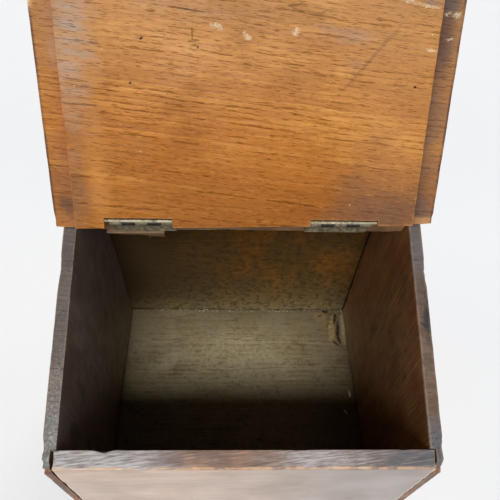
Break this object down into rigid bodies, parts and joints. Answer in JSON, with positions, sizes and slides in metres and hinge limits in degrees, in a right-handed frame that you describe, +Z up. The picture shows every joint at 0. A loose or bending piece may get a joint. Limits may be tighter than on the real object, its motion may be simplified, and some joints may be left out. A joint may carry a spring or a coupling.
{
  "type": "candle box",
  "caption": "Nailed oak candle box with a sloping rim, a fixed top board at the back and a rebated slant lid on brass butt hinges, standing open.",
  "frame": {"origin": "middle of the base's underside", "axes": "+Z up, the front panel faces -Y, the hinge axis runs along X"},
  "size_m": [0.292, 0.2828, 0.4165],
  "materials": {
    "oak_side": "worn dark oak, upright grain",
    "oak_front": "worn polished oak",
    "oak_back": "dark unpolished oak",
    "oak_floor": "dusty unpolished oak",
    "oak_lid": "warm brown oak, satin",
    "oak_top": "warm brown oak, satin",
    "oak_rail": "unpolished oak",
    "old_brass": "dull scratched brass",
    "old_iron": "dark rusted iron"
  },
  "bodies": {
    "box": {"back_panel": "oak_back", "bottom_board": "oak_floor", "front_panel": "oak_front", "hinge_rail": "oak_rail", "left_back_nail_high": "old_iron", "left_back_nail_low": "old_iron", "left_bottom_nail_back": "old_iron", "left_bottom_nail_front": "old_iron", "left_front_nail_high": "old_iron", "left_front_nail_low": "old_iron", "left_hinge_box_leaf": "old_brass", "left_hinge_box_screw_1": "old_iron", "left_hinge_box_screw_2": "old_iron", "left_hinge_pin": "old_brass", "left_rail_wedge": "oak_rail", "left_side": "oak_side", "left_top_nail_back": "old_iron", "left_top_nail_front": "old_iron", "rail_nail_1": "old_iron", "rail_nail_2": "old_iron", "rail_nail_3": "old_iron", "right_back_nail_high": "old_iron", "right_back_nail_low": "old_iron", "right_bottom_nail_back": "old_iron", "right_bottom_nail_front": "old_iron", "right_front_nail_high": "old_iron", "right_front_nail_low": "old_iron", "right_hinge_box_leaf": "old_brass", "right_hinge_box_screw_1": "old_iron", "right_hinge_box_screw_2": "old_iron", "right_hinge_pin": "old_brass", "right_side": "oak_side", "right_top_nail_back": "old_iron", "right_top_nail_front": "old_iron", "top_board": "oak_top"},
    "lid": {"left_hinge_lid_leaf": "old_brass", "left_hinge_lid_screw_1": "old_iron", "left_hinge_lid_screw_2": "old_iron", "lid_board": "oak_lid", "right_hinge_lid_leaf": "old_brass", "right_hinge_lid_screw_1": "old_iron", "right_hinge_lid_screw_2": "old_iron"}
  },
  "joints": [
    {"name": "lid_hinge", "type": "hinge", "parent": "box", "child": "lid", "pos_m": [0, 0.0437, 0.25242], "axis": [1, 0, 0], "range_deg": [0, 143]}
  ]
}
